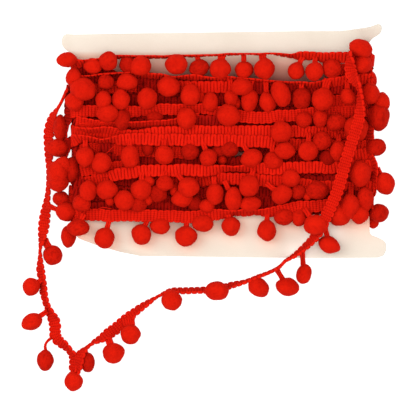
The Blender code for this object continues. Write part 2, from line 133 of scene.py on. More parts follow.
def curve_through(rows, closed=False):
    """A smooth curve through rows of numbers, x y z first, with its length in metres."""
    rows = np.array(rows, float)
    if closed:
        ext = np.vstack([rows[-1], rows, rows[0], rows[1]])
    else:
        ext = np.vstack([2 * rows[0] - rows[1], rows, 2 * rows[-1] - rows[-2]])
    fine = []
    for four in zip(ext, ext[1:], ext[2:], ext[3:]):
        fine += [spline(*four, t) for t in np.arange(0, 1, 1 / CURVE_PARTS)]
    fine.append(fine[0] if closed else ext[-2])
    fine = np.array(fine)
    along = np.concatenate([[0], np.cumsum(norm(np.diff(fine[:, :3], axis=0), axis=1))])
    return Curve(fine, along, along[-1], closed)


def read_curve(curve, at):
    return np.stack([np.interp(at, curve.along, column) for column in curve.fine.T], axis=1)


class Batch:
    """Collects points and faces for one joined mesh, with each point's painted shade, 0 darkest and 1
    unshaded.
    """

    def __init__(self):
        self.points, self.faces, self.relief, self.count = [], [], [], 0

    def add(self, points, faces, relief=None):
        self.points.append(np.asarray(points))
        self.relief.append(np.ones(len(points)) if relief is None else np.asarray(relief))
        self.faces += [tuple(i + self.count for i in f) for f in faces]
        self.count += len(points)

    def object(self, name, made_of):
        mesh = bpy.data.meshes.new(name)
        mesh.from_pydata(np.vstack(self.points).tolist(), [], self.faces)
        mesh.validate()
        return dress(mesh, made_of, relief=np.concatenate(self.relief).astype(np.float32))


# -------- materials

WHITE = (1, 1, 1)


def set_sockets(node, **values):
    """Set sockets of a node, named with an underscore for each space."""
    for name, value in values.items():
        node.inputs[name.replace("_", " ")].default_value = value


class Look:
    """A material in the making."""

    def __init__(self, name):
        self.made = bpy.data.materials.new(name)
        self.made.use_nodes = True
        self.tree = self.made.node_tree
        self.where = self.node("TexCoord").outputs["Object"]

    def node(self, kind, socket=None, source=None, **values):
        """A new node with its values, and one of its sockets linked to a source."""
        made = self.tree.nodes.new("ShaderNode" + kind)
        set_sockets(made, **values)
        if socket:
            self.tree.links.new(source, made.inputs[socket])
        return made

    def noise(self, scale, detail=3, rough=0.5):
        made = self.node("TexNoise", "Vector", self.where, Scale=scale, Detail=detail, Roughness=rough)
        return made.outputs["Fac"]

    def attribute(self, name):
        made = self.node("Attribute")
        made.attribute_name = name
        return made.outputs["Fac"]

    def ramp(self, factor, *stops):
        made = self.node("ValToRGB", "Fac", factor)
        elements = made.color_ramp.elements
        while len(elements) < len(stops):
            elements.new(0.5)
        for element, (at, colour) in zip(elements, stops):
            element.position = at
            element.color = (*colour, 1)
        return made.outputs["Color"]

    def mix(self, factor, first, second, blend="MIX"):
        made = self.node("Mix")
        made.data_type = "RGBA"
        made.blend_type = blend
        for i, value in ((0, factor), (6, first), (7, second)):  # the sockets Factor, A and B
            if isinstance(value, bpy.types.NodeSocket):
                self.tree.links.new(value, made.inputs[i])
            else:
                made.inputs[i].default_value = value if i == 0 else (*value, 1)
        return made.outputs[2]

    def finish(self, colour, grain=None, bump=0, distance=0, **values):
        """The material, with its colour, its bump from the grain, and the shader's own values."""
        shader = self.tree.nodes["Principled BSDF"]
        self.tree.links.new(colour, shader.inputs["Base Color"])
        if grain:
            raised = self.node("Bump", "Height", grain, Strength=bump, Distance=distance)
            self.tree.links.new(raised.outputs["Normal"], shader.inputs["Normal"])
        set_sockets(shader, **values)
        return self.made


def yarn_material(name, light, dark, fibre_scale, bump, sheen):
    """Spun yarn: uneven dye, painted shade in its grooves and hollows, fine fibres in bump and a soft sheen.
    """
    look = Look(name)
    fine = look.noise(fibre_scale, 4, 0.65)
    spread = look.ramp(look.noise(160, 2), (0.34, dark), (0.62, light))
    speck = look.ramp(fine, (0.3, (0.74, 0.69, 0.69)), (0.58, WHITE))
    relief = look.attribute("relief")
    # Painted shade: the yarn is darker where the points' painted shade is low.
    shade = look.ramp(relief, (0, GROOVE_SHADE), (0.55, (0.86, 0.8, 0.8)), (1, WHITE))
    colour = look.mix(1, look.mix(0.5, spread, speck, "MULTIPLY"), shade, "MULTIPLY")
    return look.finish(colour, fine, bump, 0.35 * MM, Roughness=0.95, Specular_IOR_Level=0.04,
                       Sheen_Weight=sheen, Sheen_Roughness=0.5, Sheen_Tint=(1, 0.05, 0.012, 1))


# Painted red bounce light and painted shade on the card, darkest between the courses under the winding: its
# tint at each layout y
BOUNCE_SHADE_LOW, BOUNCE_SHADE_HIGH = 260, 40
BOUNCE_SHADE = ((252, (0.96, 0.95, 0.95)), (216, (1, 0.98, 0.97)), (204, (0.42, 0.12, 0.1)),
        (80, (0.42, 0.12, 0.1)), (70, (0.8, 0.38, 0.32)), (64, (0.95, 0.56, 0.5)),
        (56, (1, 0.74, 0.66)), (51, WHITE))
# Painted shadow and painted red bounce light next to the pompoms, and painted light under the slack turn
RED_SHADOW, PAINTED_LIGHT = (0.8, 0.47, 0.35), (0.88, 0.82, 0.73)  # next to the pompoms, under the slack turn


def board_material():
    """Uncoated cream card: faint fibres and mottling, with painted shade, shadow, red bounce light and light
    near the yarn.
    """
    look = Look("cream_card")
    fine = look.noise(1500, 3, 0.7)
    tone = look.ramp(look.noise(28), (0.35, (0.55, 0.492, 0.414)), (0.65, (0.586, 0.531, 0.454)))
    fleck = look.ramp(fine, (0.3, (0.93, 0.92, 0.9)), (0.6, WHITE))
    colour = look.mix(0.6, tone, fleck, "MULTIPLY")
    up = look.node("SeparateXYZ", "Vector", look.where).outputs["Y"]
    share = look.node("MapRange", "Value", up, From_Min=place(0, BOUNCE_SHADE_LOW, 0)[1],
                      From_Max=place(0, BOUNCE_SHADE_HIGH, 0)[1]).outputs["Result"]
    stops = [((BOUNCE_SHADE_LOW - y) / (BOUNCE_SHADE_LOW - BOUNCE_SHADE_HIGH), tint) for y, tint in BOUNCE_SHADE]
    # Painted shadow and red bounce light by the pompoms, painted light under the slack turn, then painted
    # red bounce light and shade by height up the card
    colour = look.mix(look.attribute("blush"), colour, RED_SHADOW)
    colour = look.mix(look.attribute("lift"), colour, PAINTED_LIGHT)
    colour = look.mix(1, colour, look.ramp(share, *stops), "MULTIPLY")
    return look.finish(colour, fine, 0.12, 0.05 * MM, Roughness=0.72, Specular_IOR_Level=0.3)


def floor_material():
    """A white table lit a little from below, so that hardly any shadow shows on it."""
    look = Look("white_floor")
    tone = look.ramp(look.noise(6, 2), (0.3, (0.22, 0.22, 0.22)), (0.7, (0.24, 0.24, 0.24)))
    return look.finish(tone, Emission_Color=(1, 1, 1, 1), Emission_Strength=0.95, Roughness=0.9,
                       Specular_IOR_Level=0.1)


# The yarn's colour factor for the painted shade in the deepest grooves
GROOVE_SHADE = (0.3, 0.12, 0.12)
BRAID_RED = yarn_material("braid_yarn", (0.57, 0.0084, 0.002), (0.49, 0.0068, 0.0018), 2600,
                          0.5, 0.05)
# A darker copy of the yarn: painted shade for the turns and folds that lie deep in the pile
SHADED_RED = yarn_material("shaded_inner_yarn", (0.34, 0.0041, 0.0016), (0.26, 0.0031, 0.0013), 2600,
                         0.5, 0.02)
POMPOM_RED = yarn_material("pompom_yarn", (0.5, 0.0078, 0.0014), (0.45, 0.0064, 0.0012), 4200,
                           0.36, 0.07)
BOARD = board_material()


# -------- braid


def braid_section(side, phase):
    """Places across and out of the braid's upper face at a phase along it, counted in ribs.

    The third row is each place's painted shade, from 0 in a groove, darkest, to 1 on a crest.
    """
    u = np.array(side.profile)
    groove = abs(2 * (phase % 1) - 1)  # 1 in the groove between two legs
    leg = sqrt(max(0, 1 - groove**LEG_ROUND))
    across = u.copy()
    height = np.full(len(u), leg)
    bead = np.zeros(len(u))  # the cord stands up a little where it turns
    for sign, shift in ((1, 0), (-1, 1)):
        turn = 2 * (((phase + shift) / 2) % 1) - 1  # -1 to 1 along the cord's turn at this edge
        bump = 1 - abs(turn) ** TURN_ROUND
        here = u * sign > 0
        across[here] = (u * (1 - side.scallop * (1 - bump)))[here]
        closing = np.clip((u * sign - TURN_START) / TURN_LENGTH, 0, 1)
        height = np.where(here, height + (max(bump, leg) - height) * closing, height)
        bead = np.where(here, side.bead * bump * closing, bead)
    crown = np.sqrt(np.maximum(0, 1 - np.minimum(np.abs(u), 1) ** CROWN_ROUND))
    lines = sum(np.exp(-(((u - line) / STITCH_REACH) ** 2)) for line in STITCHES)
    high = 1 - side.depth * (1 - height)
    # Painted shade: darker in the grooves and along the stitch lines
    relief = np.clip(high * (1 - STITCH_SHADE * side.stitch * lines), 0, 1)
    out = crown * (SKIN + (1 - SKIN) * high - STITCH_DEPTH * side.stitch * lines + bead)
    return across, np.maximum(out, 0.02 * (1 - np.abs(u))), relief


def ring_faces(n, ring, closed):
    """The faces along and at the ends of a skin over n rings of points."""
    quads = []
    for i in range(n if closed else n - 1):
        j = (i + 1) % n
        for k in range(ring):
            m = (k + 1) % ring
            quads.append((i * ring + k, j * ring + k, j * ring + m, i * ring + m))
    if closed:
        return quads, []
    return quads, [tuple(range(ring)), tuple(reversed(range((n - 1) * ring, n * ring)))]


def add_braid(batch, curve, sideways, side, both_sides=False):
    """A length of braid along a curve of rows x, y, z and lean."""
    ribs = 2 * max(2, round(curve.length / side.rib / 2))
    phases = [k + f for k in range(ribs) for f in side.stations]
    if not curve.closed:
        phases.append(ribs)
    rows = read_curve(curve, np.array(phases) * (curve.length / ribs))
    centres = rows[:, :3]
    wide, normal = frames(centres, rows[:, 3], sideways, curve.closed)
    points, relief = [], []
    half, half_thick = BRAID_WIDTH / 2, side.thickness / 2
    for i, phase in enumerate(phases):
        upper = braid_section(side, phase)
        lower = PLAIN_BACK
        if both_sides:
            lower = [sign * row[-2:0:-1] for sign, row in zip((1, -1, 1), upper)]
        across, out, high = (np.concatenate(pair) for pair in zip(upper, lower))
        points.append(centres[i] + np.outer(across * half, wide[i])
                      + np.outer(out * half_thick, normal[i]))
        relief.append(high)
    points = np.array(points)
    n, ring = points.shape[:2]
    points[:, :, 2] = np.maximum(points[:, :, 2], FLOOR_GAP)
    quads, caps = ring_faces(n, ring, curve.closed)
    batch.add(points.reshape(-1, 3), quads + caps, np.concatenate(relief))
    return centres


def ruffled(rows, seed, closed, sway=0.28, turn=5):
    """Rows of x, y, z, lean with the small unevenness of a limp braid."""
    rng = random.Random(seed)
    curve = curve_through(rows, closed)
    count = max(8, int(curve.length / (7 * MM)))
    at = np.linspace(0, curve.length, count, endpoint=not closed)
    fine = read_curve(curve, at)
    for row in fine:
        row[:3] += np.array([rng.gauss(0, sway * share) for share in (0.5, 1, 1)]) * MM
        row[3] += rng.gauss(0, turn)
    return curve_through(fine, closed)


def frames(path, lean, sideways, closed):
    """Vectors across and out of a strip along path, leaned about it, lean in degrees."""
    if closed:
        along = unit(np.roll(path, -1, axis=0) - np.roll(path, 1, axis=0))
    else:
        along = unit(np.gradient(path, axis=0))
    if sideways is None:
        side = unit(np.stack([-along[:, 1], along[:, 0], np.zeros(len(path))], axis=1))
    else:
        side = unit(sideways - (sideways * along).sum(1)[:, None] * along)
    out = unit(np.cross(along, side))
    lean = np.radians(lean)[:, None]
    return side * np.cos(lean) + out * np.sin(lean), out * np.cos(lean) - side * np.sin(lean)


# -------- pompoms and stalks


def sphere():
    bm = bmesh.new()
    bmesh.ops.create_icosphere(bm, subdivisions=BALL_LEVEL, radius=1)
    points = np.array([v.co for v in bm.verts])
    faces = [tuple(v.index for v in f.verts) for f in bm.faces]
    bm.free()
    return points, faces


def half_sizes(p, flat=1):
    """A pompom's half sizes across, along its stalk and in height, from its size in steps."""
    return p.wide / 2 * STEP, p.tall / 2 * STEP, (p.wide + p.tall) / 4 * STEP * flat


def level_way(start, end):
    return unit((end - start) * np.array([1, 1, 0]))


BALL_LEVEL = 4
BALL_POINTS, BALL_FACES = sphere()
# A pompom's broad lumps, its tufts and its fine grain: how many there are, and how high they stand
LUMP_SCALES, LUMP_SIZES = (1.25, 5, 14), (0.11, 0.024, 0.014)
NARROW, FLAT, DRAWN = 0.55, 0.4, 0.16  # the form of its end at the stalk, as shares of pull
SOFT = 0.8 * MM  # how gradually it is pressed flat
NAP_HAIRS, HAIR, HAIR_LENGTHS = 140, 0.06 * MM, (0.25, 0.65)


def add_pompom(batch, centre, radii, turn, rng, floor=None, pull=0.1, shade=1, napped=True):
    """A brushed pompom: an uneven ball, drawn in towards its stalk by pull, with a short nap.

    radii are its half sizes across, along the stalk and in height, turn is the angle of its stalk
    from +Y in degrees, and floor is a height that it is pressed flat on.
    """
    seed = Vector([rng.uniform(-50, 50) for _ in range(3)])
    p = BALL_POINTS.copy()
    lumps = [np.array([noise.noise(Vector(q) * scale + seed) for q in p]) for scale in LUMP_SCALES]
    swell = sum((size * high for size, high in zip(LUMP_SIZES, lumps)), 1)
    above = np.maximum(0, p[:, 1])
    p = p * swell[:, None]
    p[:, 0] *= 1 - pull * NARROW * above**2
    p[:, 2] *= 1 - pull * FLAT * above**2
    p[:, 1] += pull * DRAWN * above**3
    x, y, z = (p * np.array(radii)).T
    a = radians(turn)
    points = centre + np.stack([x * cos(a) - y * sin(a), x * sin(a) + y * cos(a), z], axis=1)
    if floor is not None:
        depth = points[:, 2] - floor
        points[:, 2] = floor + np.where(depth < SOFT, SOFT * np.exp(depth / SOFT - 1), depth)
    # Painted shade: darker in the hollows between the tufts, times the pompom's own painted shade
    hollow_shade = np.clip(0.94 + 0.7 * lumps[1] + 0.6 * lumps[2], 0.55, 1)
    batch.add(points, BALL_FACES, shade * hollow_shade)
    if napped:
        add_nap(batch, points, centre, rng)


def add_nap(batch, points, centre, rng):
    """Short brushed fibres that stand out of a pompom, each a closed three-sided spike."""
    chance = np.random.default_rng(rng.randrange(10**6))
    roots = points[chance.integers(0, len(points), NAP_HAIRS)]
    roots = roots + chance.normal(0, 0.25, (NAP_HAIRS, 3)) * MM
    out = unit(roots - centre)
    lean = unit(out + chance.normal(0, 0.45, (NAP_HAIRS, 3)))
    side = unit(np.cross(lean, out + 1e-3))
    other = np.cross(lean, side)
    tips = roots + lean * chance.uniform(*HAIR_LENGTHS, (NAP_HAIRS, 1)) * MM
    foot = roots - out * 0.3 * MM
    corners = [foot + HAIR * (cos(a) * side + sin(a) * other)
               for a in (0, tau / 3, 2 * tau / 3)]
    made = np.stack([*corners, tips], axis=1)
    made[:, :, 2] = np.maximum(made[:, :, 2], 0.03 * MM)
    faces = []
    for i in range(0, 4 * NAP_HAIRS, 4):
        faces += [(i, i + 1, i + 3), (i + 1, i + 2, i + 3), (i + 2, i, i + 3), (i, i + 2, i + 1)]
    batch.add(made.reshape(-1, 3), faces)


TUBE_UP = (0.31, 0.2, 0.93)  # a way that no yarn runs in


def add_tube(batch, path, radius, sides=7):
    """A plied yarn along a path of points."""
    path = np.array(path)
    along = unit(np.gradient(path, axis=0))
    side = unit(np.cross(along, TUBE_UP))
    out = np.cross(side, along)
    points, relief = [], []
    for i, p in enumerate(path):
        for k in range(sides):
            a = tau * k / sides
            ply = 1 + 0.1 * cos(2 * a + 1.1 * i)
            points.append(p + radius * ply * (cos(a) * side[i] + sin(a) * out[i]))
            # Painted shade: a stalk's yarn a little darker overall and darker between the plies
            relief.append(0.75 + 2.5 * (ply - 1))
    quads, caps = ring_faces(len(path), sides, False)
    faces = [(a, d, c, b) for a, b, c, d in quads] + [cap[::-1] for cap in caps]
    batch.add(points, faces, relief)


def add_stalk(batch, root, tip, bow, rng, yarns=2, spread=0.25):
    """Yarns side by side from the braid to the pompom, bowed sideways, and spread at the braid."""
    line = tip - root
    side = unit(np.array([-line[1], line[0], 0]) + 1e-9)
    lift = rng.uniform(0.2, 0.7) * MM
    for k in range(yarns):
        sign = 2 * k - yarns + 1
        points = []
        for t in np.linspace(0, 1, 9):
            apart = sign * YARN_SPACING / 2 * (1 + spread * (1 - t) ** 2)
            arch = 4 * t * (1 - t)
            points.append(root + line * t + side * (apart + bow * arch)
                          + np.array([0, 0, (lift + 0.12 * MM * sign) * arch]))
        add_tube(batch, points, YARN / 2)


# -------- the wound trim

# Heights of the middle of a pompom in the pile, in mm above the surface
TOP, MID, DEEP = 27.6, 25, 22.4

# shade is below 1 for the pompoms that lie in the shade of the others
Pompom = namedtuple("Pompom", "x y wide tall height shade turn root yarns",
                    defaults=(MID, 1, 0, None, 2))
PILE_ROWS = {
    "first": ((67, 60, 20, 15.5, 24.6), (93.5, 66.3, 19, 16), (108.5, 61, 19, 19, TOP, 0.75),
        (128, 64.5, 18, 17, MID, 0.5), (140.8, 66, 21.5, 20.5, TOP, 1, 25), (176.5, 64.5, 23.5, 20.5, TOP),
        (199, 68, 20, 17, MID, 0.6, 15), (220.5, 69, 21, 21, TOP, 1, 0, (222, 55.5), 3),
        (244, 70, 18.5, 17.5), (264.5, 69, 20.5, 21, TOP, 1, 0, (262.5, 55), 3),
        (296, 71, 17, 18, MID, 1, -20, (302.5, 57)), (314.5, 71.5, 18, 19.5, TOP, 1, -12),
        (332, 69, 20, 19.5, MID, 0.7), (360.5, 48.4, 24, 18, TOP, 1, -20), (362.5, 64.5, 18.5, 19, MID + 1)),
    "second": ((201, 98, 9, 13, DEEP), (237, 103, 8, 12, DEEP, 0.8), (74, 78, 16, 19),
        (83.5, 89.5, 26.5, 23, TOP), (106, 82, 17, 16, MID, 0.6), (127.5, 82, 21, 17, TOP),
        (168.5, 86.5, 23, 21, TOP), (190.5, 95.5, 20, 22, TOP, 1, 0, (189, 83)), (242, 87, 21, 18, TOP),
        (281, 94, 19, 27, TOP, 1, 24), (301.5, 98.5, 20, 21, MID, 0.5),
        (323, 99.5, 22.5, 23, TOP, 1, -10, (328, 79), 3), (348, 97, 15, 17, MID, 1, 20),
        (370.3, 93.7, 19, 21), (381.8, 102.5, 16.5, 21, 21), (378.5, 116.5, 22, 29, 21.8, 0.6)),
    "third": ((74.5, 101.5, 19, 19), (103.8, 100, 16, 19, TOP), (107.5, 113.5, 21.5, 19, TOP),
        (121, 99.5, 18.5, 20.5, TOP), (147.5, 98.5, 20, 22, TOP), (210, 101.8, 16, 20), (231, 98.5, 14, 17),
        (228.5, 115.5, 24, 22, TOP), (249.5, 101, 17, 22, MID, 1, -18), (267.5, 102.5, 17, 21, MID, 1, 15),
        (122, 119.5, 17, 21, MID, 0.47), (155, 117.5, 17, 13, DEEP, 0.5), (148, 149, 12, 14, DEEP, 0.4),
        (186.5, 118.5, 19.5, 21.5, TOP), (304, 119.5, 17, 16, MID, 0.7), (320, 118.5, 15, 18, MID, 0.8),
        (336, 122.5, 20, 17, MID, 0.6, 30), (281, 132, 21, 22, TOP), (356, 128.5, 25, 27)),
    "fourth": ((222, 160, 10, 10, DEEP, 0.7), (60, 128.2, 13.5, 27, 13, 0.6),
        (57.5, 148, 22.5, 18, 13.5, 0.75), (70, 143, 8, 13, 15, 0.1), (57.5, 172.5, 20.5, 24, 23.5),
        (63, 165.5, 18, 18, 22.5, 0.8), (58.3, 181.7, 20.6, 19.6, 21, 0.8), (71, 170, 16.5, 25, 19.5, 0.5),
        (85, 157, 18, 20.5, TOP), (101.5, 163, 20, 20.5, TOP), (130, 157, 19, 22.5, TOP),
        (164.3, 155, 19.5, 19, TOP), (190, 152, 18.5, 17, MID, 0.5),
        (208.5, 157.5, 18.5, 17.5, TOP, 0.75, 10, (203, 143)), (219, 151, 16, 14, DEEP, 0.4),
        (229.5, 149, 19, 16, MID, 0.47), (251.5, 158.5, 22.5, 18.5, TOP, 1, 20, (243, 144)),
        (285, 151, 20.5, 17, TOP), (273, 161, 20, 18, MID, 0.75), (308, 151, 20, 20, TOP),
        (322, 141, 18.5, 19, MID, 0.65), (338.5, 151, 17.5, 21), (327, 158, 17, 16, DEEP, 0.25),
        (376.2, 147.3, 21, 17, 21.5, 0.6, 22), (360, 173.5, 22, 27),
        (385, 183.5, 20, 22.5, 19.5, 1, 25, (377, 168))),
    "fifth": ((149, 181.5, 12, 12), (148, 199, 11, 13, DEEP + 1), (110, 200, 10, 12, DEEP + 1),
        (174, 190, 9, 12, DEEP + 1), (307, 196, 9, 10, DEEP + 1), (88.2, 191, 17.5, 21, TOP),
        (82, 203, 19, 17, MID, 0.75), (107, 189.5, 21.5, 19, TOP), (124.5, 200, 21, 19.5, TOP),
        (141, 190, 21, 20, TOP), (138, 204.5, 18, 16, MID, 0.5), (165, 183.5, 18, 16, TOP, 0.75),
        (158, 193.5, 18, 18, MID, 0.45), (188.5, 187.5, 21, 21, TOP + 1.5, 1, 20, (177, 174)),
        (182, 198.5, 21, 18), (195, 203.5, 16, 15, DEEP, 0.3), (215, 194, 17.5, 22, TOP, 1, 0, (214, 177)),
        (207, 206, 16, 14), (233, 199, 17.5, 24, TOP, 1, 0, (224, 181)),
        (249, 186, 21, 23, TOP + 1, 1, -8, (253, 169)), (250, 204, 22, 16, MID + 1),
        (290.5, 178.5, 19, 17.5, TOP), (282, 194.5, 22.5, 18.5, TOP, 1, 30, (266, 183)),
        (298, 192, 15, 15, MID, 0.6), (317, 190.5, 23, 18.5, MID, 0.6), (350, 206, 19.5, 25, TOP),
        (365, 199, 17, 24, MID, 0.75), (339, 214.5, 24, 23), (359, 214.5, 19.5, 19),
        (379, 213, 20, 18, 19.5, 0.55), (373, 221.5, 12.5, 14, 9.5)),
    "bottom": ((61, 199, 17.5, 15, 14, 0.65), (72, 199, 9, 12, 14, 0.45),
        (66, 212, 19.5, 21, 16, 1, 75, (47.5, 205.4, 6)), (78.3, 227.8, 22.8, 16.5, 24, 0.7, 0, (84, 214)),
        (68.5, 236.5, 15.5, 21.5, 15, 0.7, 0, (73, 222)), (104.5, 238, 20.5, 21.5, 24, 1, 0, (109, 219)),
        (141.5, 234.5, 20.5, 20.5, 24, 1, -12, (147, 219)), (160, 226, 20.5, 16.5, 23.5, 1, 0, (160, 219)),
        (186, 236, 22, 20.5, 24, 1, 0, (186, 219)), (203, 223.5, 21, 17, 24.5, 1, 0, (201, 218)),
        (231, 226, 19.5, 19, 23.8, 1, 8, (228, 215)), (267, 230.5, 19.5, 21, 23.8, 1, 0, (267, 213)),
        (284, 217, 20, 17, 24.6, 0.7), (299, 218, 16, 17, 24.6, 0.8)),
}
PILE = {name: [Pompom(*row) for row in rows] for name, rows in PILE_ROWS.items()}

# Each course, from the top: its kind of surface, its place on the back, its rows across the front
# as x, y, height in mm and lean in degrees, and its height on the back
Course = namedtuple("Course", "side back front back_height", defaults=(3.4,))
COURSES = (
    Course(RIBBED, 62, ((79, 63.5, 22.4, 50), (86, 62, 23.6, 64), (97, 59.6, 24.6, 74), (118, 56.8, 25, 79),
        (150, 57.2, 25, 78), (180, 56.4, 25, 82), (200, 55.4, 25, 86), (230, 54.6, 25, 88),
        (260, 54, 25, 88), (276, 54.6, 25, 80), (288, 55.6, 25, 66), (302, 56.4, 25, 48),
        (314, 56.8, 25, 42), (330, 57.4, 24.8, 28), (345, 58, 24.4, 26), (368, 58.5, 23, 20))),
    Course(RIBBED, 80, ((79, 80, 22, 40), (92, 76, 23.4, 74), (105, 74, 24.2, 84), (120, 73.6, 24.4, 80),
        (150, 75.5, 24.6, 62), (172, 77.4, 24.8, 72), (200, 77.6, 25, 74), (235, 79.2, 25, 72),
        (262, 81, 25, 72), (285, 83.2, 24.8, 72), (305, 84.4, 24.4, 66), (330, 82.6, 23.6, 46),
        (350, 80, 23, 20), (368, 79, 22.4, 4))),
    Course(STITCHED, 113, ((79, 112, 23, 5), (100, 111, 23.4, 10), (140, 110.8, 24.2, 30),
        (152, 110.6, 24.6, 30), (166, 109.2, 25.2, 20), (190, 108.8, 25, 30), (205, 109.2, 24.8, 32),
        (216, 111.4, 24.6, 30), (250, 117.4, 24.8, 6), (275, 116.4, 25.2, 0), (290, 115.4, 25.2, 8),
        (308, 113.6, 24.2, 10), (324, 112.4, 21.4, 8), (345, 112, 19.6, 4), (368, 111, 19.2, 0)), 8),
    Course(RIBBED, 128, ((79, 133, 23, 20), (110, 134, 23.6, 20), (132, 135.6, 24, 10),
        (145, 135.4, 24.2, 6), (157, 132.4, 24.8, 4), (185, 131.8, 25, 2), (215, 131.6, 25, 4),
        (250, 131.6, 24.8, 4), (285, 131.6, 23.6, 4), (312, 131.8, 22.4, 4), (326, 132.4, 20.8, 4),
        (340, 133, 18.8, 2), (368, 134, 18.6, 0))),
    Course(RIBBED, 144, ((79, 138.6, 24.5, 50), (92, 139.2, 25.4, 66), (110, 139.4, 26, 64),
        (119, 139.4, 26.4, 36), (128, 138.8, 26.7, 8), (155, 139.2, 26.8, 0), (205, 140.2, 26.8, 0),
        (245, 141, 26.6, 0), (266, 141.8, 25.8, 4), (282, 143.4, 22.8, 8), (300, 144.6, 20.6, 8),
        (325, 145, 19.6, 8), (368, 146, 19.4, 0)), 8),
    Course(RIBBED, 160, ((79, 183, 17.4, 10), (94, 181, 19.4, 8), (104, 178.4, 23.4, 8),
        (112, 176.4, 25.2, 6), (120, 174.8, 25.8, 4), (131, 173, 26, 2), (147, 171.2, 26.4, 0),
        (185, 170.2, 26.6, 0), (205, 170.4, 26.4, 8), (217, 169.6, 26.6, 40), (230, 168.4, 26.8, 56),
        (244, 168.2, 26.8, 62), (255, 168.8, 26.6, 44), (266, 168.4, 26.2, 12), (285, 167.8, 26, 0),
        (308, 167.4, 25.2, 4), (322, 167.2, 24, 10), (340, 167, 23, 10), (368, 165, 22, 0))),
    Course(RIBBED, 192, ((77, 190.6, 16.8, 6), (100, 189.4, 16.8, 6), (130, 187, 17, 6), (150, 184.6, 18, 6),
        (170, 182, 19.6, 6), (190, 181, 19.2, 6), (207, 180, 19.4, 4), (217, 178.8, 22.6, 0),
        (229, 178.6, 24.4, 0), (245, 179.2, 24.4, 0), (265, 180.4, 24, 0), (285, 181, 23.8, 10),
        (300, 184, 22.6, 20), (318, 186, 21.8, 12), (335, 186.4, 21.6, 24), (352, 186, 21.4, 46),
        (368, 187, 21, 20))),
    Course(STITCHED, 219, ((79, 214.4, 20.4, 6), (94, 214.8, 21.8, 4), (112, 215.4, 25, 2),
        (150, 216.2, 25.4, 0), (190, 216.4, 25.4, 0), (212, 215.6, 25.2, 16), (226, 213.8, 25.2, 46),
        (240, 212, 25.2, 56), (256, 211.8, 25.4, 60), (268, 212, 25.4, 44), (282, 210.4, 25.2, 18),
        (300, 207.6, 25, 4), (330, 204.8, 24.6, 2), (368, 203, 22, 0))),
)

# Lengths of braid that show between the courses or at the ends, in rows as above. Up the card is
# across the braid in most of them, and +X in those at the ends.
ALONG_CARD, OVER_EDGE = np.array([0, 1, 0]), np.array([1, 0, 0])
